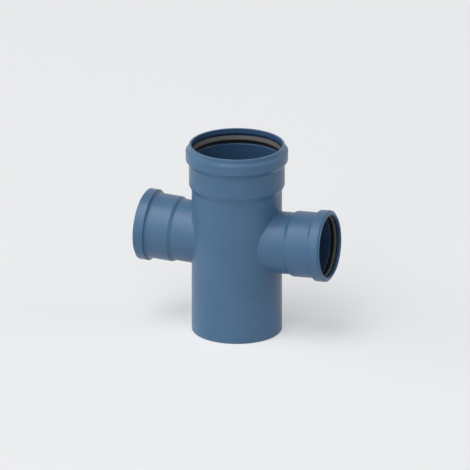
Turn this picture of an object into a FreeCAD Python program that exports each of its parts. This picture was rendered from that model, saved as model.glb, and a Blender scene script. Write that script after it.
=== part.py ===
"""Push-fit double branch fitting: a 110 mm drain run with two opposite 75 mm branches.

The origin is the centre of the spigot's end face. +Z runs up the main run to its socket, and the
branches leave along +X (right) and -X (left), each rising a little. Sizes are millimetres and
degrees. A size is radial or along its own run unless its note says otherwise.
"""
import FreeCAD
import Part
import Sketcher
import os
from dataclasses import dataclass

# Driving sizes. Each one is a cell of the sheet under this name.
SIZES = (
    # The main run, from the spigot's end upwards
    ("main_pipe_diameter", 110.0, "outside of the pipe that the main run belongs to"),
    ("main_wall", 3.0, "wall of the spigot and the barrel"),
    ("spigot_length", 68.0, "parallel length that goes into the next socket"),
    ("spigot_chamfer_length", 1.5, "lead-in on the spigot's end"),
    ("spigot_chamfer_depth", 1.4, "how far the lead-in cuts into the wall"),
    ("barrel_relief", 0.1, "how far the barrel lies under the spigot's size"),
    ("relief_slope_length", 2.0, "slope from the spigot to the barrel"),
    ("branch_above_spigot", 48.5, "spigot's top to where the branch axes meet"),
    ("socket_above_branch", 64.9, "branch axes to the foot of the main socket"),
    ("main_cone_length", 6.7, "widening from barrel to socket"),
    ("main_root_shift", 1.0, "how far the inner widening lies above the outer one"),
    ("main_socket_gap", 0.4, "play between a pipe and the socket's bore"),
    ("main_socket_wall", 2.85, "wall of the socket and its collar"),
    ("main_bell_length", 26.6, "parallel part of the socket under the collar"),
    ("main_flank_length", 5.1, "slope under the collar"),
    ("main_collar_rise", 4.0, "how far the collar stands out, and how deep its groove is"),
    ("main_collar_length", 11.4, "parallel part of the collar"),
    ("main_shoulder_length", 2.6, "slope above the collar"),
    ("main_neck_length", 4.9, "parallel part from the shoulder to the rim"),
    ("main_roof_drop", 1.0, "groove's roof below the shoulder's top"),
    # Both branches
    ("branch_pipe_diameter", 75.0, "outside of the pipe that a branch takes"),
    ("branch_stub_extra", 0.35, "how much larger in radius the stub is than that pipe"),
    ("branch_wall", 2.4, "wall of the stub"),
    ("branch_tilt", 2.5, "rise of a branch above the level, in degrees"),
    ("branch_stub_length", 17.7, "barrel's wall to the foot of the branch socket"),
    ("branch_cone_length", 4.3, "widening from stub to socket"),
    ("branch_root_shift", 0.5, "how far the inner widening lies beyond the outer one"),
    ("branch_socket_gap", 0.35, "play between a pipe and the socket's bore"),
    ("branch_socket_wall", 2.25, "wall of the socket and its collar"),
    ("branch_bell_length", 24.6, "parallel part of the socket before the collar"),
    ("branch_flank_length", 5.4, "both slopes before the collar, the first one gentler"),
    ("branch_knee_length", 1.9, "steeper slope from the knee to the collar"),
    ("branch_knee_depth", 2.7, "how far the knee lies inside the collar's radius"),
    ("branch_collar_rise", 3.5, "how far the collar stands out, and how deep its groove is"),
    ("branch_collar_length", 11.2, "parallel part of the collar"),
    ("branch_shoulder_length", 1.4, "slope after the collar"),
    ("branch_neck_length", 1.0, "parallel part from the shoulder to the rim"),
    ("branch_roof_drop", 3.2, "groove's roof below the shoulder's top"),
    # The lip seals, each lying on its groove's floor
    ("main_seal_clearance", 0.15, "play between the seal's back and the groove"),
    ("main_seal_back", 2.1, "thickness of the seal's back"),
    ("main_lip_reach", 2.0, "how far the lip stands into the bore"),
    ("main_lip_height", 4.8, "groove's floor to the lip's free edge"),
    ("main_lip_land", 1.5, "parallel part of the lip that grips the pipe"),
    ("main_lip_crest", 0.2, "how far the crest, at the top, stands into the bore"),
    ("main_lip_hollow", 2.6, "depth of the hollow behind the lip"),
    ("branch_seal_clearance", 0.15, "play between the seal's back and the groove"),
    ("branch_seal_back", 1.8, "thickness of the seal's back"),
    ("branch_lip_reach", 1.4, "how far the lip stands into the bore"),
    ("branch_lip_height", 5.0, "groove's floor to the lip's free edge"),
    ("branch_lip_land", 1.2, "parallel part of the lip that grips the pipe"),
    ("branch_lip_crest", 0.2, "how far the crest, at the top, stands into the bore"),
    ("branch_lip_hollow", 1.6, "depth of the hollow behind the lip"),
)

# The steps along a socket's outside, in order, and the level that each one ends at
SOCKET_STEPS = (
    ("cone_length", "cone_top"),
    ("bell_length", "flank_foot"),
    ("flank_length", "collar_foot"),
    ("collar_length", "collar_top"),
    ("shoulder_length", "neck_foot"),
    ("neck_length", "rim"),
)

BRANCH_HEIGHT = "(Sizes.spigot_length + Sizes.branch_above_spigot)"
MAIN_RADIUS = "Sizes.main_pipe_diameter / 2"
BARREL_RADIUS = f"{MAIN_RADIUS} - Sizes.barrel_relief"


@dataclass
class Corner:
    """A corner of a profile: how far it lies along its run, and how far from the axis.

    Both are expressions of the sheet's sizes. A "0" is the run's start or its axis.
    """

    name: str
    along: str
    radius: str


@dataclass
class Run:
    """One of the three runs of pipe: its place, and the sizes that shape its socket."""

    name: str
    family: str
    plane: str
    outside: str
    socket_foot: str
    height: str = "0"
    angle: str = "0"
    upright: bool = False

    def size(self, name):
        """The sheet's size of this run's family."""
        return f"Sizes.{self.family}_{name}"

    def level(self, wanted):
        """How far along the run a step of its socket ends."""
        reached = self.socket_foot
        for step, level in SOCKET_STEPS:
            reached = f"{reached} + {self.size(step)}"
            if level == wanted:
                return reached
        raise ValueError(f"no level named {wanted}")

    def waterway(self):
        """Radius of the run's own bore."""
        return f"{self.outside} - {self.size('wall')}"

    def bore(self):
        """Radius of the socket's bore: the pipe's and its play."""
        return f"{self.size('pipe_diameter')} / 2 + {self.size('socket_gap')}"

    def groove(self):
        """Radius of the bottom of the seal's groove."""
        return f"{self.bore()} + {self.size('collar_rise')}"

    def shell(self):
        """Radius of the socket's outside."""
        return f"{self.bore()} + {self.size('socket_wall')}"

    def roof(self):
        """Level of the groove's roof where it meets the mouth."""
        return f"{self.level('neck_foot')} - {self.size('roof_drop')}"

    def collar(self):
        """Radius of the collar's outside."""
        return f"{self.shell()} + {self.size('collar_rise')}"

    def flank_knee(self):
        """The corner between a branch's two slopes. The main run has one slope and no knee."""
        if self.upright:
            return []
        level = f"{self.level('collar_foot')} - {self.size('knee_length')}"
        return [Corner("flank_knee", level, f"{self.collar()} - {self.size('knee_depth')}")]

    def socket_outside(self):
        """Corners of the socket's outside, from the end of its cone to the rim."""
        return [
            Corner("cone_top", self.level("cone_top"), self.shell()),
            Corner("flank_foot", self.level("flank_foot"), self.shell()),
            *self.flank_knee(),
            Corner("collar_foot", self.level("collar_foot"), self.collar()),
            Corner("collar_top", self.level("collar_top"), self.collar()),
            Corner("neck_foot", self.level("neck_foot"), self.shell()),
            Corner("rim_outer", self.level("rim"), self.shell()),
            Corner("rim_axis", self.level("rim"), "0"),
        ]

    def inside(self):
        """Corners of the hollow: waterway, inner cone, socket bore, seal groove and mouth.

        The groove's roof is as steep as the shoulder above it, so the wall between is even.
        """
        root = f"{self.socket_foot} + {self.size('root_shift')}"
        floor = self.level("collar_foot")
        return [
            Corner("start_axis", "0", "0"),
            Corner("start_wall", "0", self.waterway()),
            Corner("root_foot", root, self.waterway()),
            Corner("root_top", f"{root} + {self.size('cone_length')}", self.bore()),
            Corner("floor_edge", floor, self.bore()),
            Corner("floor_back", floor, self.groove()),
            Corner("roof_back", f"{self.roof()} - {self.size('shoulder_length')}", self.groove()),
            Corner("roof_edge", self.roof(), self.bore()),
            Corner("mouth_edge", self.level("rim"), self.bore()),
            Corner("mouth_axis", self.level("rim"), "0"),
        ]

    def seal(self):
        """Corners of the lip seal: a back that lies on the groove's floor, a flat top, and a lip
        that leans down into the bore from its crest, with a hollow behind it."""
        floor = self.level("collar_foot")
        back = f"{self.groove()} - {self.size('seal_clearance')}"
        front = f"{back} - {self.size('seal_back')}"
        edge = f"{floor} + {self.size('lip_height')}"
        grip = f"{self.bore()} - {self.size('lip_reach')}"
        nose = f"{self.bore()} - {self.size('lip_crest')}"
        top = f"{self.roof()} - {self.size('shoulder_length')} - {self.size('seal_clearance')}"
        return [
            Corner("heel_back", floor, back),
            Corner("heel_front", floor, front),
            Corner("hollow", f"{edge} + {self.size('lip_hollow')}", front),
            Corner("free_edge", edge, grip),
            Corner("land_top", f"{edge} + {self.size('lip_land')}", grip),
            Corner("crest", top, nose),
            Corner("top_back", top, back),
        ]


MAIN = Run(
    name="main",
    family="main",
    plane="YZ_Plane",
    outside=MAIN_RADIUS,
    socket_foot=f"{BRANCH_HEIGHT} + Sizes.socket_above_branch",
    upright=True,
)


def branch(side, angle):
    """A branch: the right one leans up from +X, the left one from -X."""
    return Run(
        name=f"{side}_branch",
        family="branch",
        plane="XZ_Plane",
        outside="Sizes.branch_pipe_diameter / 2 + Sizes.branch_stub_extra",
        socket_foot=f"{MAIN_RADIUS} + Sizes.branch_stub_length",
        height=BRANCH_HEIGHT,
        angle=angle,
    )


BRANCHES = (branch("right", "Sizes.branch_tilt"), branch("left", "180 - Sizes.branch_tilt"))


def make_sheet(doc):
    """The sheet of driving sizes: name, value and note in each row."""
    sheet = doc.addObject("Spreadsheet::Sheet", "Sizes")
    for row, (name, value, note) in enumerate(SIZES, start=1):
        sheet.set(f"A{row}", name)
        sheet.set(f"B{row}", str(value))
        sheet.set(f"C{row}", note)
        sheet.setAlias(f"B{row}", name)
    doc.recompute()
    return sheet


def new_sketch(body, run, name):
    """A sketch on the run's plane. An upright run's axis is the sketch's vertical one. A branch's
    is its horizontal one, and the sketch is raised and turned to lie along the branch."""
    sketch = body.newObject("Sketcher::SketchObject", name)
    plane = next(p for p in body.Origin.OriginFeatures if p.Role == run.plane)
    sketch.AttachmentSupport = (plane, [""])
    sketch.MapMode = "FlatFace"
    if not run.upright:
        sketch.AttachmentOffset = FreeCAD.Placement(
            FreeCAD.Vector(0, 0, 0), FreeCAD.Rotation(FreeCAD.Vector(0, 0, 1), 1)
        )
        sketch.setExpression("AttachmentOffset.Base.y", run.height)
        sketch.setExpression("AttachmentOffset.Rotation.Angle", run.angle)
    return sketch


def hold(sketch, run, corner, side):
    """Holds the start of one side at a corner's two sizes, measured from the sketch's origin."""
    sizes = (corner.radius, corner.along) if run.upright else (corner.along, corner.radius)
    parts = ("radius", "along") if run.upright else ("along", "radius")
    for size, part, kind, axis in zip(sizes, parts, ("DistanceX", "DistanceY"), (-2, -1)):
        if size == "0":
            sketch.addConstraint(Sketcher.Constraint("PointOnObject", side, 1, axis))
            continue
        value = float(sketch.evalExpression(size))
        held = sketch.addConstraint(Sketcher.Constraint(kind, -1, 1, side, 1, value))
        sketch.renameConstraint(held, f"{corner.name}_{part}")
        sketch.setExpression(f"Constraints.{corner.name}_{part}", size)


def draw(sketch, run, corners):
    """Draws a closed outline of straight sides through the corners, each held at its sizes."""
    spots = []
    for corner in corners:
        along = float(sketch.evalExpression(corner.along))
        radius = float(sketch.evalExpression(corner.radius))
        x, y = (radius, along) if run.upright else (along, radius)
        spots.append(FreeCAD.Vector(x, y, 0))
    for start, end in zip(spots, spots[1:] + spots[:1]):
        sketch.addGeometry(Part.LineSegment(start, end), False)
    for side, corner in enumerate(corners):
        side_before = (side - 1) % len(corners)
        sketch.addConstraint(Sketcher.Constraint("Coincident", side_before, 2, side, 1))
        hold(sketch, run, corner, side)


def turn(body, run, kind, name, corners):
    """Draws a profile and turns it once round the run's axis, to add it to the body or cut it."""
    sketch = new_sketch(body, run, f"{name}_profile")
    draw(sketch, run, corners)
    feature = body.newObject(kind, name)
    feature.Profile = (sketch, [""])
    feature.ReferenceAxis = (sketch, ["V_Axis" if run.upright else "H_Axis"])
    feature.Angle = 360
    body.Document.recompute()
    return feature


def main_outside():
    """The main run's outside: lead-in, spigot, the slightly smaller barrel, and socket."""
    relief_top = "Sizes.spigot_length + Sizes.relief_slope_length"
    return [
        Corner("end_axis", "0", "0"),
        Corner("end_wall", "0", f"{MAIN_RADIUS} - Sizes.spigot_chamfer_depth"),
        Corner("spigot_foot", "Sizes.spigot_chamfer_length", MAIN_RADIUS),
        Corner("spigot_top", "Sizes.spigot_length", MAIN_RADIUS),
        Corner("relief_top", relief_top, BARREL_RADIUS),
        Corner("cone_foot", MAIN.socket_foot, BARREL_RADIUS),
    ] + MAIN.socket_outside()


def branch_outside(run):
    """A branch's outside, from the main axis: stub, cone and socket."""
    return [
        Corner("start_axis", "0", "0"),
        Corner("start_wall", "0", run.outside),
        Corner("cone_foot", run.socket_foot, run.outside),
    ] + run.socket_outside()


def make_fitting(doc):
    """The moulded fitting: the outsides of the three runs joined, then their hollows cut."""
    body = doc.addObject("PartDesign::Body", "fitting_body")
    turn(body, MAIN, "PartDesign::Revolution", "main_outside", main_outside())
    for run in BRANCHES:
        turn(body, run, "PartDesign::Revolution", f"{run.name}_outside", branch_outside(run))
    for run in (MAIN, *BRANCHES):
        turn(body, run, "PartDesign::Groove", f"{run.name}_inside", run.inside())
    return body


def make_seal(doc, run):
    """The rubber lip ring in a run's socket."""
    body = doc.addObject("PartDesign::Body", f"{run.name}_seal_ring")
    turn(body, run, "PartDesign::Revolution", f"{run.name}_seal_section", run.seal())
    return body


def check(doc, bodies):
    """Stops if any object failed or any piece isn't one valid solid."""
    for item in doc.Objects:
        if {"Invalid", "Error"} & set(item.State):
            raise RuntimeError(f"{item.Name} failed: {item.State}")
    for body in bodies:
        shape = body.Shape
        if shape.isNull() or not shape.isValid() or len(shape.Solids) != 1:
            raise RuntimeError(f"{body.Label} is not one valid solid")


def main():
    """Builds the fitting and its three seals, and writes each to its own file."""
    doc = FreeCAD.newDocument("double_branch_fitting")
    make_sheet(doc)
    bodies = [make_fitting(doc)] + [make_seal(doc, run) for run in (MAIN, *BRANCHES)]
    doc.recompute()
    check(doc, bodies)
    os.makedirs("parts", exist_ok=True)
    for body in bodies:
        body.Shape.exportStep(f"parts/{body.Label}.step")
        box = body.Shape.BoundBox
        size = f"{box.XLength:.2f} x {box.YLength:.2f} x {box.ZLength:.2f} mm"
        print(f"{body.Label}: {size}, {body.Shape.Volume / 1000:.2f} cm3")


main()
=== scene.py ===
"""Looks of a push-fit double branch drain fitting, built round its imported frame.

The fitting's origin is the centre of its spigot's end. +Z runs up the main run, and the branches leave
along +X and -X. The classes hold their sizes in millimetres, and meshes are handed over in metres.
"""

import logging
import math
from dataclasses import dataclass, field
from enum import Enum
from typing import Any, Optional, Sequence, Union

import bmesh
import bpy
import numpy as np
from mathutils import Matrix, Vector

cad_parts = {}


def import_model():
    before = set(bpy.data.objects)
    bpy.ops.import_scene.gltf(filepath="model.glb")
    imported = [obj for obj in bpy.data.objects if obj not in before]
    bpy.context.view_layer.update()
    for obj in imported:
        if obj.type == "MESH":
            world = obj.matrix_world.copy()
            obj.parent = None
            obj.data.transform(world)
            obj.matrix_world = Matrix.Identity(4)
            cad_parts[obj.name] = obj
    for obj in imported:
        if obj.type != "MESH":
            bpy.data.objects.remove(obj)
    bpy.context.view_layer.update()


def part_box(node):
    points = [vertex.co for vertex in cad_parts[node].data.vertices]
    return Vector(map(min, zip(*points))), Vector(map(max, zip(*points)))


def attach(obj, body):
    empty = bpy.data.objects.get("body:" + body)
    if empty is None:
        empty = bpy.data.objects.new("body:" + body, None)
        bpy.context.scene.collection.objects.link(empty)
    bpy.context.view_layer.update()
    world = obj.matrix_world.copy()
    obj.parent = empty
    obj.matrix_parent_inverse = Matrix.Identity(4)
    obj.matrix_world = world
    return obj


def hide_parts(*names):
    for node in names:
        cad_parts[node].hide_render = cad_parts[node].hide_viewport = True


LOG = logging.getLogger("double_branch_fitting")
METRES = 0.001
BODY = "root"

# The photograph's frame, in pixels, and how it shows the fitting
PHOTO_PIXELS = 470
PIXELS_PER_MM = 0.823
PHOTO_AZIMUTH = 20.01
PHOTO_ELEVATION = 20.08
MIDDLE_HEIGHT = 120.0
MIDDLE_PIXEL = (236.88, 236.02)

# How finely the surfaces are cut
ARC_STEPS = 5
SIDE_SUPPORT = 0.25
LARGEST_SUPPORT_SHARE = 1 / 3
WELD_DISTANCE = 1e-7

# The attribute that holds how far along its section a point lies, in millimetres
SECTION_WAY = "section_way"


def unit(vectors: np.ndarray) -> np.ndarray:
    """Vectors of length one along the last axis."""
    return vectors / np.linalg.norm(vectors, axis=-1, keepdims=True)


def swing(start: np.ndarray, end: np.ndarray, share: np.ndarray) -> np.ndarray:
    """Turns evenly from one direction to another, along the shorter way.

    With w the angle between both, a share k of the way is
    (sin((1 - k) w) start + sin(k w) end) / sin(w).

    Args:
        start: Unit vectors, on the last axis.
        end: Unit vectors of the same shape.
        share: Shares of the way from 0 to 1, with a last axis of one.

    Returns:
        Unit vectors, of the shape that the three make together.
    """
    angle = np.arccos(np.clip((start * end).sum(-1, keepdims=True), -1.0, 1.0))
    return (np.sin((1 - share) * angle) * start + np.sin(share * angle) * end) / np.sin(angle)


@dataclass(frozen=True)
class Corner:
    """A corner of a section: its level along the run, its radius and its rounding."""

    along: float
    radius: float
    rounding: float = 0.3


def rounded_section(corners: Sequence[Corner], closed: bool = False) -> np.ndarray:
    """Rounds each corner of a section with an arc that touches both of its sides.

    At a corner whose sides leave it along the unit vectors a and b, t apart, an arc of radius r begins
    r / tan(t / 2) along a, ends as far along b, and has its centre r / sin(t / 2) along a + b. Each
    straight side gets a point close to both of its ends, so that smooth shading stays flat along it.

    Args:
        corners: The section's corners in order. An open section keeps its two ends sharp.
        closed: Whether the last corner joins the first.

    Returns:
        Points (level, radius), one row each. A closed section doesn't repeat its first point.
    """
    spots = np.array([(corner.along, corner.radius) for corner in corners])
    roundings = np.array([corner.rounding for corner in corners])
    if closed:
        before, middle, after = np.roll(spots, 1, axis=0), spots, np.roll(spots, -1, axis=0)
    else:
        before, middle, after = spots[:-2], spots[1:-1], spots[2:]
        roundings = roundings[1:-1]
    to_before, to_after = unit(before - middle), unit(after - middle)
    half = np.arccos((to_before * to_after).sum(axis=1, keepdims=True)) / 2
    reach = roundings[:, None] / np.tan(half)
    centre = middle + unit(to_before + to_after) * roundings[:, None] / np.sin(half)
    first, last = middle + to_before * reach, middle + to_after * reach
    share = np.linspace(0.0, 1.0, ARC_STEPS + 1)[None, :, None]
    spokes = swing(unit(first - centre)[:, None], unit(last - centre)[:, None], share)
    arcs = centre[:, None] + roundings[:, None, None] * spokes

    if closed:
        side_start, side_end = np.roll(last, 1, axis=0), first
    else:
        side_start, side_end = np.vstack((spots[:1], last)), np.vstack((first, spots[-1:]))
    length = np.linalg.norm(side_end - side_start, axis=1, keepdims=True)
    support = np.minimum(SIDE_SUPPORT / length, LARGEST_SUPPORT_SHARE)
    places = np.stack((support, 1 - support), axis=1)
    sides = side_start[:, None] + places * (side_end - side_start)[:, None]
    if closed:
        return np.concatenate((sides, arcs), axis=1).reshape(-1, 2)
    inner = np.concatenate((sides[:-1], arcs), axis=1).reshape(-1, 2)
    return np.vstack((spots[:1], inner, sides[-1], spots[-1:]))


def grid_faces(rows: int, columns: int, rows_closed: bool, columns_closed: bool) -> np.ndarray:
    """Quads between the neighbouring points of a grid that is stored row after row.

    Args:
        rows: Number of rows.
        columns: Number of points in a row.
        rows_closed: Whether the last row joins the first.
        columns_closed: Whether the last point of a row joins its first.

    Returns:
        Four point numbers per quad.
    """
    row = np.arange(rows if rows_closed else rows - 1)[:, None]
    column = np.arange(columns if columns_closed else columns - 1)[None, :]
    next_row, next_column = (row + 1) % rows, (column + 1) % columns
    corners = (
        row * columns + column,
        row * columns + next_column,
        next_row * columns + next_column,
        next_row * columns + column,
    )
    return np.stack(corners, axis=-1).reshape(-1, 4)


@dataclass
class Skin:
    """Grids of points that are joined into one closed surface."""

    points: list[np.ndarray] = field(default_factory=list)
    faces: list[np.ndarray] = field(default_factory=list)
    ways: list[np.ndarray] = field(default_factory=list)
    count: int = 0

    def add(self, grid: np.ndarray, ways: np.ndarray, rows_closed: bool = False,
            columns_closed: bool = False) -> None:
        """Adds a grid.

        Args:
            grid: Points in millimetres, of shape (rows, columns, 3).
            ways: The way along the section at each point, in millimetres, of shape (rows, columns).
            rows_closed: Whether the last row joins the first.
            columns_closed: Whether each row is a loop.
        """
        rows, columns = grid.shape[:2]
        self.points.append(grid.reshape(-1, 3))
        self.ways.append(np.broadcast_to(ways, (rows, columns)).reshape(-1))
        self.faces.append(grid_faces(rows, columns, rows_closed, columns_closed) + self.count)
        self.count += rows * columns

    def add_mirrored(self) -> None:
        """Adds all that is there once more, mirrored in the plane x = 0 and wound the other way."""
        points, faces = np.vstack(self.points), np.vstack(self.faces)
        ways = np.concatenate(self.ways)
        self.points.append(points * np.array([-1.0, 1.0, 1.0]))
        self.ways.append(ways)
        self.faces.append(faces[:, ::-1] + self.count)
        self.count += len(points)

    def build(self, name: str) -> bpy.types.Object:
        """Welds the grids' seams and makes the piece, smooth and facing outwards.

        Args:
            name: The piece's name.

        Returns:
            The new object, at the origin, with its place in its mesh.
        """
        mesh = bpy.data.meshes.new(name)
        mesh.from_pydata((np.vstack(self.points) * METRES).tolist(), [], np.vstack(self.faces).tolist())
        ways = mesh.attributes.new(SECTION_WAY, "FLOAT", "POINT")
        ways.data.foreach_set("value", np.concatenate(self.ways).astype(np.float32))
        work = bmesh.new()
        work.from_mesh(mesh)
        bmesh.ops.remove_doubles(work, verts=work.verts, dist=WELD_DISTANCE)
        bmesh.ops.recalc_face_normals(work, faces=work.faces)
        work.to_mesh(mesh)
        work.free()
        mesh.polygons.foreach_set("use_smooth", np.ones(len(mesh.polygons), dtype=bool))
        piece = bpy.data.objects.new(name, mesh)
        bpy.context.scene.collection.objects.link(piece)
        return piece


def way_along(section: np.ndarray) -> np.ndarray:
    """The way from a section's first point to each of its points, along the section."""
    steps = np.linalg.norm(np.diff(section, axis=0), axis=1)
    return np.concatenate(([0.0], np.cumsum(steps)))


def way_from_mouth(level: np.ndarray, way: np.ndarray) -> np.ndarray:
    """Measures the way from a mouth's inner edge: above 0 outside and below 0 inside.

    Args:
        level: Level along the run of each row, with the rows running from the outside to the inside.
        way: The way along the section at each row, from the first one.

    Returns:
        The way at the edge less the way at each row. The edge is the last row at the top level.
    """
    edge = np.flatnonzero(np.isclose(level, level.max()))[-1]
    return way[edge] - way


@dataclass
class Socket:
    """A socket with a seal groove under its collar, and the lip seal in it.

    The foot is the level where the plain pipe starts to widen. The four shares say how round the
    seal's corners are: at its back as a share of the back's thickness, in its hollow of the hollow's
    depth, at its lip's edge of the lip's land, and at its crest of the back's thickness again.
    """

    pipe_radius: float
    waterway: float
    foot: float
    cone_length: float
    root_shift: float
    gap: float
    wall: float
    bell_length: float
    flank_length: float
    collar_rise: float
    collar_length: float
    shoulder_length: float
    neck_length: float
    roof_drop: float
    seal_clearance: float
    seal_back: float
    lip_reach: float
    lip_height: float
    lip_land: float
    lip_crest: float
    lip_hollow: float
    # How round the mould leaves the edges
    cone_rounding: float
    flank_rounding: float
    collar_foot_rounding: float
    collar_rounding: float
    neck_rounding: float
    rim_rounding: float
    mouth_rounding: float
    groove_rounding: float
    floor_edge_rounding: float
    # How much lower the seal's top is at its back than at the lip's crest
    seal_fall: float
    back_share: float = 0.2
    hollow_share: float = 0.25
    edge_share: float = 0.2
    crest_share: float = 0.35

    @property
    def bore(self) -> float:
        """Radius of the socket's bore."""
        return self.pipe_radius + self.gap

    @property
    def shell(self) -> float:
        """Radius of the socket's outside."""
        return self.bore + self.wall

    @property
    def groove(self) -> float:
        """Radius of the seal groove's bottom."""
        return self.bore + self.collar_rise

    @property
    def floor(self) -> float:
        """Level of the groove's floor, where the collar starts."""
        return self.foot + self.cone_length + self.bell_length

    @property
    def neck_foot(self) -> float:
        """Level where the shoulder above the collar ends."""
        return self.floor + self.collar_length + self.shoulder_length

    @property
    def roof(self) -> float:
        """Level of the groove's roof at the bore."""
        return self.neck_foot - self.roof_drop

    @property
    def rim(self) -> float:
        """Level of the rim."""
        return self.neck_foot + self.neck_length

    def outside(self) -> list[Corner]:
        """Corners of the outside, from the end of the cone to the rim's outer edge.

        Returns:
            The corners in that order, with the collar between its flank and its shoulder.
        """
        collar = self.shell + self.collar_rise
        return [
            Corner(self.foot + self.cone_length, self.shell, self.cone_rounding),
            Corner(self.floor - self.flank_length, self.shell, self.flank_rounding),
            Corner(self.floor, collar, self.collar_foot_rounding),
            Corner(self.floor + self.collar_length, collar, self.collar_rounding),
            Corner(self.neck_foot, self.shell, self.neck_rounding),
            Corner(self.rim, self.shell, self.rim_rounding),
        ]

    def inside(self) -> list[Corner]:
        """Corners of the inside, from the rim's inner edge down to the waterway.

        Returns:
            The corners in that order, with the seal's groove between its roof and its floor.
        """
        root = self.foot + self.root_shift
        return [
            Corner(self.rim, self.bore, self.mouth_rounding),
            Corner(self.roof, self.bore, self.rim_rounding),
            Corner(self.roof - self.shoulder_length, self.groove, self.groove_rounding),
            Corner(self.floor, self.groove, self.groove_rounding),
            Corner(self.floor, self.bore, self.floor_edge_rounding),
            Corner(root + self.cone_length, self.bore, self.cone_rounding),
            Corner(root, self.waterway, self.cone_rounding),
        ]

    def seal(self) -> list[Corner]:
        """Corners of the lip seal, from its heel's outer edge round the lip to its top.

        Returns:
            The corners of a closed section, in that order.
        """
        back = self.groove - self.seal_clearance
        front = back - self.seal_back
        edge = self.floor + self.lip_height
        grip = self.bore - self.lip_reach
        top = self.roof - self.shoulder_length - self.seal_clearance
        return [
            Corner(self.floor, back, self.seal_back * self.back_share),
            Corner(self.floor, front, self.seal_back * self.back_share),
            Corner(edge + self.lip_hollow, front, self.lip_hollow * self.hollow_share),
            Corner(edge, grip, self.lip_land * self.edge_share),
            Corner(edge + self.lip_land, grip, self.lip_land),
            Corner(top, self.bore - self.lip_crest, self.seal_back * self.crest_share),
            Corner(top - self.seal_fall, back, self.seal_back * self.back_share),
        ]


MAIN_SOCKET = Socket(
    pipe_radius=55.0,
    waterway=52.0,
    foot=181.4,
    cone_length=6.7,
    root_shift=1.0,
    gap=0.4,
    wall=2.85,
    bell_length=31.7,
    flank_length=5.1,
    collar_rise=4.0,
    collar_length=11.4,
    shoulder_length=2.6,
    neck_length=4.9,
    roof_drop=1.0,
    seal_clearance=0.15,
    seal_back=2.1,
    lip_reach=2.0,
    lip_height=4.8,
    lip_land=1.5,
    lip_crest=0.2,
    lip_hollow=2.6,
    cone_rounding=2.0,
    flank_rounding=1.5,
    collar_foot_rounding=0.8,
    collar_rounding=0.6,
    neck_rounding=0.8,
    rim_rounding=0.5,
    mouth_rounding=0.5,
    groove_rounding=0.9,
    floor_edge_rounding=1.5,
    seal_fall=1.2,
)

BRANCH_SOCKET = Socket(
    pipe_radius=37.5,
    waterway=35.45,
    foot=72.7,
    cone_length=4.3,
    root_shift=0.5,
    gap=0.35,
    wall=2.25,
    bell_length=30.0,
    flank_length=0.8,
    collar_rise=3.5,
    collar_length=11.2,
    shoulder_length=1.4,
    neck_length=1.0,
    roof_drop=3.2,
    seal_clearance=0.15,
    seal_back=1.8,
    lip_reach=1.4,
    lip_height=5.0,
    lip_land=1.2,
    lip_crest=0.2,
    lip_hollow=1.6,
    cone_rounding=2.0,
    flank_rounding=4.2,
    collar_foot_rounding=0.2,
    collar_rounding=0.6,
    neck_rounding=0.4,
    rim_rounding=0.3,
    mouth_rounding=1.8,
    groove_rounding=0.7,
    floor_edge_rounding=1.2,
    seal_fall=0.0,
)


class Side(Enum):
    """The side that a branch leaves on, with the sign of its direction along X."""

    RIGHT = 1
    LEFT = -1


@dataclass
class BranchAxis:
    """The line that a branch is turned about: it leaves the main axis and rises a little."""

    height: float = 116.5
    tilt: float = math.radians(2.5)
    side: Side = Side.RIGHT

    @property
    def forward(self) -> np.ndarray:
        """Unit vector out of the branch."""
        return np.array([self.side.value * math.cos(self.tilt), 0.0, math.sin(self.tilt)])

    def spokes(self, angles: np.ndarray) -> np.ndarray:
        """Unit vectors square to the axis: 0 is along +Y, and a quarter turn is upwards.

        Args:
            angles: Angles a round the axis.

        Returns:
            cos a across + sin a upward, with a last axis of three.
        """
        upward = np.array([-self.side.value * math.sin(self.tilt), 0.0, math.cos(self.tilt)])
        across = np.array([0.0, 1.0, 0.0])
        return np.cos(angles)[..., None] * across + np.sin(angles)[..., None] * upward

    def place(self, along: np.ndarray, radius: np.ndarray, angles: np.ndarray) -> np.ndarray:
        """Points at a way along the axis and a distance from it: start + along axis + radius spoke.

        Args:
            along: Way from the main axis.
            radius: Distance from the branch's axis, of a shape that fits along.
            angles: Angles round the axis, of a shape that fits along.

        Returns:
            Points, with a last axis of three.
        """
        start = np.array([0.0, 0.0, self.height])
        along, radius = np.asarray(along)[..., None], np.asarray(radius)[..., None]
        return start + along * self.forward + radius * self.spokes(angles)


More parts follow.
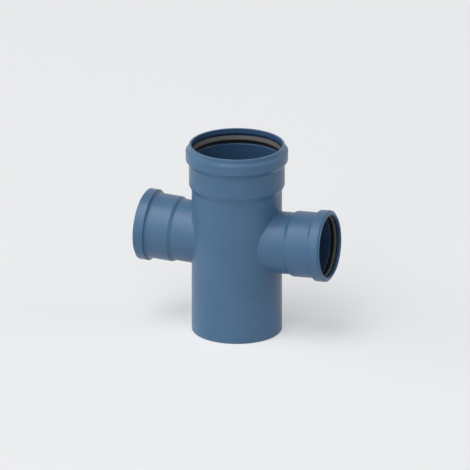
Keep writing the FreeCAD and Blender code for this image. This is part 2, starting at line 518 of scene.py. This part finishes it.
@dataclass
class Junction:
    """The rounded line where a branch's wall meets the main run's wall, outside or inside.

    A ball that rolls in the corner touches both walls, so its centre lies one ball radius beyond both.
    """

    axis: BranchAxis
    main_radius: float
    branch_radius: float
    rounding: float

    def centre(self, angles: np.ndarray) -> tuple[np.ndarray, np.ndarray]:
        """The ball's way along the branch and its centre, for each angle round the branch.

        The centre is at main radius + ball from the main axis. Its y is given by its angle, which
        leaves x = sqrt(distance^2 - y^2), and the way along the branch follows from x.

        Args:
            angles: Angles round the branch.

        Returns:
            The ways, and the centres with a last axis of three.
        """
        distance = self.main_radius + self.rounding
        reach = self.branch_radius + self.rounding
        x = np.sqrt(distance**2 - (reach * np.cos(angles)) ** 2)
        lean = reach * np.sin(angles) * math.sin(self.axis.tilt)
        along = (x + lean) / math.cos(self.axis.tilt)
        return along, self.axis.place(along, np.full_like(along, reach), angles)

    def on_main(self, angles: np.ndarray) -> tuple[np.ndarray, np.ndarray]:
        """Where the ball touches the main wall: angle round the main axis, and height."""
        centre = self.centre(angles)[1]
        return np.arctan2(centre[..., 1], centre[..., 0]), centre[..., 2]

    def surface(self, angles: np.ndarray, steps: int) -> np.ndarray:
        """The rounding, from the main wall to the branch's wall.

        Args:
            angles: Angles round the branch.
            steps: Number of strips across the rounding.

        Returns:
            Points of shape (steps + 1, angles, 3).
        """
        centre = self.centre(angles)[1]
        to_main = -unit(centre * np.array([1.0, 1.0, 0.0]))
        to_branch = -self.axis.spokes(angles)
        share = np.linspace(0.0, 1.0, steps + 1)[:, None, None]
        return centre + self.rounding * swing(to_main[None], to_branch[None], share)


@dataclass
class FittingBody:
    """The moulded fitting: spigot, barrel, two branches and three sockets, all one wall.

    The right half is worked out and mirrored. Round each branch a rectangle of the barrel's wall is
    laid out as a fan of points from the rectangle's edge to the junction.
    """

    main: Socket = field(default_factory=lambda: MAIN_SOCKET)
    branch: Socket = field(default_factory=lambda: BRANCH_SOCKET)
    axis: BranchAxis = field(default_factory=BranchAxis)
    spigot_length: float = 68.0
    relief: float = 0.1
    relief_length: float = 2.0
    lead_in_length: float = 1.5
    lead_in_depth: float = 1.4
    end_rounding: float = 0.3
    relief_rounding: float = 15.0
    stub_radius: float = 37.85
    outer_rounding: float = 1.2
    inner_rounding: float = 0.8
    window_half_height: float = 44.5
    window_columns: int = 72
    window_rows: int = 32
    fan_strips: int = 9
    fan_crowding: float = 0.8
    junction_strips: int = 6
    stub_support: float = 0.4

    @property
    def barrel(self) -> float:
        """Radius of the barrel's outside, a little less than the spigot's."""
        return self.main.pipe_radius - self.relief

    @property
    def footprint(self) -> float:
        """Radius of the middle of the spigot's end, on which the fitting stands."""
        return (self.main.waterway + self.main.pipe_radius - self.lead_in_depth) / 2

    def window(self) -> tuple[np.ndarray, np.ndarray, np.ndarray]:
        """The rectangle round a branch, as a loop that starts at its lower right corner.

        Returns:
            The loop's angles round the main axis, its heights, and the angle round the branch that each
            of its points belongs to. That angle is spread evenly along each edge.
        """
        half_turn = np.pi / 2
        low = self.axis.height - self.window_half_height
        high = self.axis.height + self.window_half_height
        corner = math.atan2(self.window_half_height, self.barrel * half_turn)
        rise = np.linspace(0.0, 1.0, self.window_rows, endpoint=False)
        across = np.linspace(0.0, 1.0, self.window_columns, endpoint=False)
        right = np.full_like(rise, half_turn)
        sweep = half_turn * (1 - 2 * across)
        climb = low + (high - low) * rise
        angles = np.concatenate((right, sweep, -right, -sweep))
        heights = np.concatenate((climb, np.full_like(across, high), low + high - climb,
                                  np.full_like(across, low)))
        tall, wide = 2 * corner, np.pi - 2 * corner
        turns = np.concatenate((
            -corner + tall * rise,
            corner + wide * across,
            np.pi - corner + tall * rise,
            np.pi + corner + wide * across,
        ))
        return angles, heights, turns

    def fan(self, junction: Junction, inwards: bool) -> np.ndarray:
        """The rectangle's wall, as rows that shrink from its edge to the junction, or back.

        Row k of n lies the share (k / n) ^ crowding of the way from the edge to the junction.

        Args:
            junction: The line that the rows shrink to.
            inwards: Whether the rows run from the junction to the edge, as on the inside.

        Returns:
            Points of shape (rows, loop, 3).
        """
        angles, heights, turns = self.window()
        joint_angles, joint_heights = junction.on_main(turns)
        share = np.linspace(0.0, 1.0, self.fan_strips + 1)[:, None] ** self.fan_crowding
        if inwards:
            share = share[::-1]
        azimuth = angles + share * (joint_angles - angles)
        height = heights + share * (joint_heights - heights)
        radius = junction.main_radius
        return np.stack((radius * np.cos(azimuth), radius * np.sin(azimuth), height), axis=-1)

    def half_turned(self, section: np.ndarray) -> np.ndarray:
        """The right half of a section turned about the main axis: (r cos a, r sin a, level).

        Args:
            section: Points (level, radius), one row each.

        Returns:
            Points of shape (rows, columns, 3).
        """
        azimuth = np.linspace(np.pi / 2, -np.pi / 2, self.window_columns + 1)[None, :]
        level, radius = section[:, :1], section[:, 1:]
        level = np.broadcast_to(level, (len(section), azimuth.shape[1]))
        return np.stack((radius * np.cos(azimuth), radius * np.sin(azimuth), level), axis=-1)

    def lower_section(self) -> np.ndarray:
        """Section below the rectangles: waterway, spigot's end, lead-in, spigot and barrel.

        Returns:
            Points (level, radius), one row each.
        """
        low = self.axis.height - self.window_half_height
        spigot = self.main.pipe_radius
        relief_end = self.spigot_length + self.relief_length
        return rounded_section([
            Corner(low, self.main.waterway),
            Corner(0.0, self.main.waterway, self.end_rounding),
            Corner(0.0, spigot - self.lead_in_depth, self.end_rounding),
            Corner(self.lead_in_length, spigot, self.end_rounding),
            Corner(self.spigot_length, spigot, self.relief_rounding),
            Corner(relief_end, self.barrel, self.relief_rounding),
            Corner(low, self.barrel),
        ])

    def upper_section(self) -> np.ndarray:
        """Section above the rectangles: barrel, the socket's outside, its inside and the waterway.

        Returns:
            Points (level, radius), one row each.
        """
        high = self.axis.height + self.window_half_height
        foot = Corner(self.main.foot, self.barrel, self.main.cone_rounding)
        return rounded_section([
            Corner(high, self.barrel), foot, *self.main.outside(), *self.main.inside(),
            Corner(high, self.main.waterway),
        ])

    def branch_grid(self) -> tuple[np.ndarray, np.ndarray]:
        """One branch from the rectangle outside, round its rim, to the rectangle inside.

        Returns:
            Points of shape (rows, loop, 3), and the way from the mouth's inner edge at each row.
        """
        turns = self.window()[2]
        outer = Junction(self.axis, self.barrel, self.stub_radius, self.outer_rounding)
        inner = Junction(self.axis, self.main.waterway, self.branch.waterway, self.inner_rounding)
        socket = self.branch
        stub_top = socket.foot - 2 * self.stub_support - socket.cone_rounding
        section = rounded_section([
            Corner(stub_top, self.stub_radius),
            Corner(socket.foot, self.stub_radius, socket.cone_rounding),
            *socket.outside(),
            *socket.inside(),
            Corner(socket.foot - socket.cone_rounding, socket.waterway),
        ])
        level, radius = section[:, :1], section[:, 1:]
        socket_rows = self.axis.place(level, radius, turns[None, :])
        outer_support = self.axis.place(outer.centre(turns)[0] + self.stub_support,
                                        np.full_like(turns, self.stub_radius), turns)
        inner_support = self.axis.place(inner.centre(turns)[0] + self.stub_support,
                                        np.full_like(turns, socket.waterway), turns)
        grid = np.concatenate((
            self.fan(outer, inwards=False)[:-1],
            outer.surface(turns, self.junction_strips),
            outer_support[None],
            socket_rows,
            inner_support[None],
            inner.surface(turns, self.junction_strips)[::-1],
            self.fan(inner, inwards=True)[1:],
        ))
        steps = np.linalg.norm(np.diff(grid, axis=0), axis=-1).mean(axis=1)
        way = np.concatenate(([0.0], np.cumsum(steps)))
        return grid, way_from_mouth((grid @ self.axis.forward).mean(axis=1), way)[:, None]

    def build(self) -> bpy.types.Object:
        """Makes the fitting's mesh as one closed skin.

        Returns:
            The new object.
        """
        skin = Skin()
        lower, upper = self.lower_section(), self.upper_section()
        lower_way = way_from_mouth(-lower[::-1, 0], way_along(lower[::-1]))[::-1]
        skin.add(self.half_turned(lower), lower_way[:, None])
        skin.add(self.half_turned(upper), way_from_mouth(upper[:, 0], way_along(upper))[:, None])
        grid, way = self.branch_grid()
        skin.add(grid, way, columns_closed=True)
        skin.add_mirrored()
        return skin.build("fitting_body_moulding")


@dataclass
class SealRing:
    """A rubber ring with one lip, which lies on the floor of its socket's groove."""

    name: str
    node: str
    socket: Socket
    axis: Optional[BranchAxis] = None
    columns: int = 192

    def build(self) -> bpy.types.Object:
        """Turns the seal's section once about its run: about the branch's axis, or else about Z.

        The way along the section starts at the lip's edge: above 0 on the open side, below 0 under it.

        Returns:
            The new object.
        """
        section = rounded_section(self.socket.seal(), closed=True)
        turns = np.linspace(0.0, 2 * np.pi, self.columns, endpoint=False)[None, :]
        level, radius = section[:, :1], section[:, 1:]
        if self.axis is None:
            level = np.broadcast_to(level, (len(section), self.columns))
            grid = np.stack((radius * np.cos(turns), radius * np.sin(turns), level), axis=-1)
        else:
            grid = self.axis.place(level, radius, turns)
        way = way_along(section)
        lip_edge = section[:, 1].argmin()
        skin = Skin()
        skin.add(grid, (way - way[lip_edge])[:, None], rows_closed=True, columns_closed=True)
        return skin.build(self.name)


class Value:
    """A node's output as a value in Python arithmetic. Each operator adds one Math node."""

    def __init__(self, tree: "Tree", socket: bpy.types.NodeSocket) -> None:
        """Wraps an output socket of a tree."""
        self.tree = tree
        self.socket = socket

    def maths(self, operation: str, *others: "Number") -> "Value":
        """Adds a Math node that takes this value first.

        Args:
            operation: The node's operation.
            others: The values after this one.

        Returns:
            The result.
        """
        return self.tree.node("ShaderNodeMath", {"operation": operation}, {
            number: value for number, value in enumerate((self, *others))
        })

    def __add__(self, other: "Number") -> "Value":
        """This plus other."""
        return self.maths("ADD", other)

    def __radd__(self, other: float) -> "Value":
        """Other plus this."""
        return self.maths("ADD", other)

    def __sub__(self, other: "Number") -> "Value":
        """This less other."""
        return self.maths("SUBTRACT", other)

    def __rsub__(self, other: float) -> "Value":
        """Other less this."""
        return self.tree.node("ShaderNodeMath", {"operation": "SUBTRACT"}, {0: other, 1: self})

    def __mul__(self, other: "Number") -> "Value":
        """This times other."""
        return self.maths("MULTIPLY", other)

    def __rmul__(self, other: float) -> "Value":
        """Other times this."""
        return self.maths("MULTIPLY", other)


Number = Union[Value, float, int]


class Tree:
    """The node tree of a material, or of the world."""

    def __init__(self, owner: Union[bpy.types.Material, bpy.types.World]) -> None:
        """Empties the owner's tree and gives it an output.

        Args:
            owner: The material or the world.
        """
        owner.use_nodes = True
        self.nodes = owner.node_tree.nodes
        self.links = owner.node_tree.links
        self.nodes.clear()
        kind = "World" if isinstance(owner, bpy.types.World) else "Material"
        self.output = self.nodes.new(f"ShaderNodeOutput{kind}")

    def node(self, kind: str, settings: Optional[dict[str, Any]] = None,
             inputs: Optional[dict[Union[str, int], Any]] = None, out: Union[str, int] = 0) -> Value:
        """Adds a node.

        Args:
            kind: The node's type.
            settings: The node's own properties, set first. "stops" is a ramp's list of (place, colour).
            inputs: Sockets by name or number, each with a value, or a Value to link.
            out: The output wanted.

        Returns:
            That output.
        """
        made = self.nodes.new(kind)
        settings = dict(settings or {})
        for place, (position, colour) in enumerate(settings.pop("stops", ())):
            ramp = made.color_ramp.elements
            stop = ramp[place] if place < len(ramp) else ramp.new(position)
            stop.position = position
            stop.color = colour
        for name, value in settings.items():
            setattr(made, name, value)
        for name, value in (inputs or {}).items():
            if isinstance(value, Value):
                self.links.new(value.socket, made.inputs[name])
            else:
                made.inputs[name].default_value = value
        return Value(self, made.outputs[out])

    def noise(self, size: float, detail: float = 2.0, roughness: float = 0.5) -> Value:
        """Cloudy noise on Object coordinates, whose patches are about size millimetres across.

        Args:
            size: Size of a patch, in millimetres.
            detail: How many finer layers it has.
            roughness: How strong the finer layers are.

        Returns:
            The noise, about 0.5.
        """
        place = self.node("ShaderNodeTexCoord", out="Object")
        return self.node("ShaderNodeTexNoise", {"noise_dimensions": "3D"}, {
            "Vector": place, "Scale": 1 / (size * METRES), "Detail": detail, "Roughness": roughness,
        }, out="Fac")

    def spread(self, value: Value, low: float, high: float) -> Value:
        """Maps low..high to 0..1, smoothly and clamped.

        Args:
            value: What is mapped.
            low: The value that becomes 0.
            high: The value that becomes 1.

        Returns:
            The mapped value.
        """
        return self.node("ShaderNodeMapRange", {"interpolation_type": "SMOOTHSTEP"}, {
            "Value": value, "From Min": low, "From Max": high,
        })

    def blend(self, share: Number, first: Any, second: Any) -> Value:
        """Mixes two colours. Sockets of several kinds share their names there, so they go by number.

        Args:
            share: The second one's share, from 0 to 1.
            first: A colour or a Value.
            second: A colour or a Value.

        Returns:
            The mixed colour.
        """
        made = self.nodes.new("ShaderNodeMix")
        made.data_type = "RGBA"
        for socket, value in ((made.inputs[0], share), (made.inputs[6], first), (made.inputs[7], second)):
            if isinstance(value, Value):
                self.links.new(value.socket, socket)
            else:
                socket.default_value = value
        return Value(self, made.outputs[2])

    def grained(self, colour: Value, roughness: Value, grain: Value, ior: float, gloss: float) -> None:
        """Finishes with a solid surface.

        Args:
            colour: Its base colour.
            roughness: Its roughness.
            grain: Its grain's height, in metres.
            ior: How strongly it bends light.
            gloss: Strength of its gloss, where 0.5 is that of the bending alone.
        """
        bump = self.node("ShaderNodeBump", inputs={"Height": grain, "Distance": 1.0, "Strength": 1.0})
        self.finish(self.node("ShaderNodeBsdfPrincipled", inputs={
            "Base Color": colour, "Roughness": roughness, "Normal": bump, "IOR": ior,
            "Specular IOR Level": gloss,
        }))

    def shown(self) -> Value:
        """Tells what the camera sees from what lights other surfaces.

        Returns:
            1 for a ray from the camera, also one mirrored or through glass, and else 0.
        """
        path = "ShaderNodeLightPath"
        camera, glossy = self.node(path, out="Is Camera Ray"), self.node(path, out="Is Glossy Ray")
        return camera.maths("MAXIMUM", glossy.maths("MAXIMUM", self.node(path, out="Is Transmission Ray")))

    def switch(self, share: Value, first: Value, second: Value) -> Value:
        """Shows the second shader where share is 1, and else the first."""
        return self.node("ShaderNodeMixShader", inputs={0: share, 1: first, 2: second})

    def finish(self, shader: Value) -> None:
        """Links the shader to the output's surface."""
        self.links.new(shader.socket, self.output.inputs["Surface"])


Colour = tuple[float, float, float, float]


def from_screen(red: int, green: int, blue: int) -> Colour:
    """A colour as it looks on a screen, 0 to 255, as linear values: ((c + 0.055) / 1.055) ^ 2.4."""
    shares = [((part / 255 + 0.055) / 1.055) ** 2.4 for part in (red, green, blue)]
    return (shares[0], shares[1], shares[2], 1.0)


WHITE: Colour = (1.0, 1.0, 1.0, 1.0)


@dataclass(frozen=True)
class MouldedPlastic:
    """Satin moulded polypropylene: cloudy pigment, fine eroded grain and faint turning rings.

    The inside, which a polished core shapes, gets a deeper tone, a painted shade for the dimly lit bore.
    """

    name: str = "satin_moulded_plastic"
    pigment: Colour = from_screen(65, 99, 131)
    pale_pigment: Colour = from_screen(73, 106, 137)
    # Painted shade: a darker colour for the inside, standing in for the dimness of the bore
    painted_shade_inside: Colour = from_screen(51, 81, 114)
    ior: float = 1.49
    gloss: float = 0.35
    roughness: float = 0.36
    roughness_spread: float = 0.10
    cloud_size: float = 45.0
    cloud_range: tuple[float, float] = (0.3, 0.7)
    cloud_share: float = 0.6
    speck_size: float = 0.9
    speck_range: tuple[float, float] = (0.35, 0.7)
    speck_share: float = 0.3
    grain_size: float = 0.35
    grain_height: float = 0.000006
    ring_pitch: float = 0.8
    ring_height: float = 0.000003

    def build(self) -> bpy.types.Material:
        """Makes the material.

        Returns:
            The new material.
        """
        material = bpy.data.materials.new(self.name)
        tree = Tree(material)
        clouds = tree.spread(tree.noise(self.cloud_size, detail=3.0), *self.cloud_range)
        specks = tree.spread(tree.noise(self.speck_size, detail=4.0, roughness=0.6), *self.speck_range)
        pale = clouds * self.cloud_share + specks * self.speck_share
        outside = tree.blend(pale, self.pigment, self.pale_pigment)
        way = tree.node("ShaderNodeAttribute", {"attribute_name": SECTION_WAY}, out="Fac")
        # Painted shade: below the mouth's inner edge the colour switches to the darker inside colour
        colour = tree.blend(way.maths("LESS_THAN", 0.0), outside, self.painted_shade_inside)
        rings = tree.node("ShaderNodeTexNoise", {"noise_dimensions": "1D"}, {
            "W": way, "Scale": 1 / self.ring_pitch, "Detail": 3.0,
        }, out="Fac")
        grain = tree.noise(self.grain_size, detail=2.0)
        height = grain * self.grain_height + rings * self.ring_height
        roughness = self.roughness + (clouds * 0.5 + specks * 0.5 - 0.5) * self.roughness_spread
        tree.grained(colour, roughness, height, self.ior, self.gloss)
        return material


@dataclass(frozen=True)
class SealRubber:
    """Matt rubber with a slight bloom and a fine moulded grain.

    From the lip's edge upwards the rubber shows its own tone and bloom. Under the lip its colour is a
    near-black painted shade, standing in for the deep shade in the groove.
    """

    name: str = "matt_seal_rubber"
    rubber: Colour = from_screen(70, 69, 70)
    bloom: Colour = from_screen(88, 87, 88)
    # Painted shade: near black, used under the lip where the groove lies deep in shade
    painted_shade_under_lip: Colour = from_screen(17, 18, 20)
    lip_edge: tuple[float, float] = (-0.5, 0.1)
    ior: float = 1.52
    gloss: float = 0.35
    roughness: float = 0.62
    roughness_spread: float = 0.15
    bloom_size: float = 9.0
    bloom_range: tuple[float, float] = (0.35, 0.75)
    grain_size: float = 0.3
    grain_height: float = 0.00001

    def build(self) -> bpy.types.Material:
        """Makes the material.

        Returns:
            The new material.
        """
        material = bpy.data.materials.new(self.name)
        tree = Tree(material)
        bloom = tree.spread(tree.noise(self.bloom_size, detail=5.0, roughness=0.6), *self.bloom_range)
        way = tree.node("ShaderNodeAttribute", {"attribute_name": SECTION_WAY}, out="Fac")
        # Painted shade: below the lip's edge the colour fades to the near-black shade colour
        clear_of_painted_shade = tree.spread(way, *self.lip_edge)
        colour = tree.blend(clear_of_painted_shade, self.painted_shade_under_lip, tree.blend(bloom, self.rubber, self.bloom))
        grain = tree.noise(self.grain_size, detail=2.0) * self.grain_height
        roughness = self.roughness + (bloom - 0.5) * self.roughness_spread
        tree.grained(colour, roughness, grain, self.ior, self.gloss)
        return material


def towards(azimuth: float, elevation: float) -> Vector:
    """Unit vector from the middle to a place round it, with both angles in degrees.

    It is (sin a cos e, -cos a cos e, sin e): azimuth 0 lies in front and 90 on the right.
    """
    turn, rise = math.radians(azimuth), math.radians(elevation)
    return Vector((math.sin(turn) * math.cos(rise), -math.cos(turn) * math.cos(rise), math.sin(rise)))


@dataclass(frozen=True)
class SoftLamp:
    """A square soft lamp: its name, its direction in degrees and its power in watts."""

    name: str
    azimuth: float
    elevation: float
    power: float


@dataclass
class Studio:
    """A pale floor, soft lamps and the camera at the photograph's angle."""

    # Inside this radius the spigot stands round the floor, which has no glow there
    footprint: float
    floor_colour: Colour = from_screen(234, 235, 237)
    floor_size: float = 16.0
    floor_roughness: float = 0.9
    floor_gloss: float = 0.1
    lens: float = 1500.0
    # The lamps hang far away, so that the floor is lit evenly
    lamp_distance: float = 18.0
    lamp_size: float = 9.0
    ambient: float = 0.042
    shown_floor: Colour = from_screen(172, 173, 174)
    floor_glow: float = 0.55
    middle: Vector = field(default_factory=lambda: Vector((0.0, 0.0, MIDDLE_HEIGHT * METRES)))
    lamps: tuple[SoftLamp, ...] = (
        SoftLamp("front_low", -5.0, 20.0, 387.0),
        SoftLamp("front_high", 0.0, 45.0, 729.0),
        SoftLamp("front_left", -30.0, 45.0, 378.0),
        SoftLamp("left_low", -55.0, 20.0, 639.0),
        SoftLamp("far_left", -85.0, 25.0, 594.0),
        SoftLamp("front_right", 40.0, 38.0, 198.0),
        SoftLamp("right_low", 95.0, 20.0, 576.0),
        SoftLamp("overhead", -20.0, 70.0, 1332.0),
    )

    def floor(self) -> None:
        """Lays the floor, a large square that the fitting stands on."""
        half = self.floor_size / 2
        mesh = bpy.data.meshes.new("studio_floor")
        mesh.from_pydata([(-half, -half, 0), (half, -half, 0), (half, half, 0), (-half, half, 0)], [],
                         [(0, 1, 2, 3)])
        floor = bpy.data.objects.new("studio_floor", mesh)
        bpy.context.scene.collection.objects.link(floor)
        material = bpy.data.materials.new("studio_floor")
        tree = Tree(material)
        matt = {"Roughness": self.floor_roughness, "Specular IOR Level": self.floor_gloss}
        lighting = tree.node("ShaderNodeBsdfPrincipled", inputs={
            **matt, "Base Color": self.floor_colour,
        })
        seen = tree.node("ShaderNodeBsdfPrincipled", inputs={
            **matt, "Base Color": self.shown_floor,
            "Emission Color": self.floor_colour, "Emission Strength": self.floor_glow,
        })
        place = tree.node("ShaderNodeTexCoord", out="Object")
        away = tree.node("ShaderNodeVectorMath", {"operation": "LENGTH"}, {0: place}, out="Value")
        open_floor = away.maths("GREATER_THAN", self.footprint)
        tree.finish(tree.switch(tree.shown() * open_floor, lighting, seen))
        mesh.materials.append(material)

    def lamp(self, lamp: SoftLamp) -> None:
        """Hangs a lamp so that it faces the middle of the fitting.

        Args:
            lamp: Its name, direction and power.
        """
        light = bpy.data.lights.new(lamp.name, "AREA")
        light.shape = "SQUARE"
        light.size = self.lamp_size
        light.energy = lamp.power
        made = bpy.data.objects.new(lamp.name, light)
        back = towards(lamp.azimuth, lamp.elevation)
        place = Matrix.Translation(self.middle + back * self.lamp_distance)
        made.matrix_world = place @ back.to_track_quat("Z", "Y").to_matrix().to_4x4()
        bpy.context.scene.collection.objects.link(made)

    def surroundings(self) -> None:
        """Even light from all round, and the floor's pale tone where the surroundings are seen."""
        world = bpy.data.worlds.new("studio")
        bpy.context.scene.world = world
        tree = Tree(world)
        light = tree.node("ShaderNodeBackground", inputs={"Strength": self.ambient, "Color": WHITE})
        seen = tree.node("ShaderNodeBackground", inputs={"Strength": 1.0, "Color": self.floor_colour})
        tree.finish(tree.switch(tree.shown(), light, seen))

    def camera(self) -> None:
        """The camera. Its lens is very long: the photograph shows both ends at the same angle.

        A camera whose picture is as wide as its sensor at one lens length sees w metres at
        w lens / sensor metres away.
        """
        back = towards(PHOTO_AZIMUTH, PHOTO_ELEVATION)
        right = Vector((0.0, 0.0, 1.0)).cross(back).normalized()
        upward = back.cross(right)
        aside = (PHOTO_PIXELS / 2 - MIDDLE_PIXEL[0]) / PIXELS_PER_MM * METRES
        above = (MIDDLE_PIXEL[1] - PHOTO_PIXELS / 2) / PIXELS_PER_MM * METRES
        aim = self.middle + right * aside + upward * above
        data = bpy.data.cameras.new("photo_view")
        data.lens = self.lens
        distance = PHOTO_PIXELS / PIXELS_PER_MM * METRES * data.lens / data.sensor_width
        camera = bpy.data.objects.new("photo_view", data)
        turn = Matrix((right, upward, back)).transposed().to_4x4()
        camera.matrix_world = Matrix.Translation(aim + back * distance) @ turn
        bpy.context.scene.collection.objects.link(camera)
        bpy.context.scene.camera = camera

    def build(self) -> None:
        """Sets the whole studio up."""
        self.floor()
        self.surroundings()
        for lamp in self.lamps:
            self.lamp(lamp)
        self.camera()
        bpy.context.scene.view_settings.view_transform = "Standard"


def dress(piece: bpy.types.Object, node: str, material: bpy.types.Material) -> None:
    """Gives a piece its material and lets it stand for its CAD node.

    Args:
        piece: The new piece.
        node: The CAD node that it replaces.
        material: Its finish.
    """
    piece.data.materials.clear()
    piece.data.materials.append(material)
    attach(piece, BODY)
    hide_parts(node)
    low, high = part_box(node)
    points = np.empty(len(piece.data.vertices) * 3)
    piece.data.vertices.foreach_get("co", points)
    points = points.reshape(-1, 3)
    misfit = max(np.abs(points.min(axis=0) - np.array(low)).max(),
                 np.abs(points.max(axis=0) - np.array(high)).max())
    LOG.info("%s: %d points, %.3f mm off its node's box", piece.name, len(points), misfit / METRES)


def main() -> None:
    """Builds the fitting's pieces round the frame, lights them and places the camera."""
    logging.basicConfig(level=logging.INFO, format="%(message)s")
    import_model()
    plastic, rubber = MouldedPlastic().build(), SealRubber().build()
    body = FittingBody()
    dress(body.build(), "fitting_body", plastic)
    seals = (
        SealRing("main_lip_seal", "main_seal_ring", MAIN_SOCKET),
        SealRing("right_lip_seal", "right_branch_seal_ring", BRANCH_SOCKET, BranchAxis()),
        SealRing("left_lip_seal", "left_branch_seal_ring", BRANCH_SOCKET, BranchAxis(side=Side.LEFT)),
    )
    for seal in seals:
        dress(seal.build(), seal.node, rubber)
    Studio(body.footprint * METRES).build()
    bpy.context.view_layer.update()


if __name__ == "__main__":
    main()
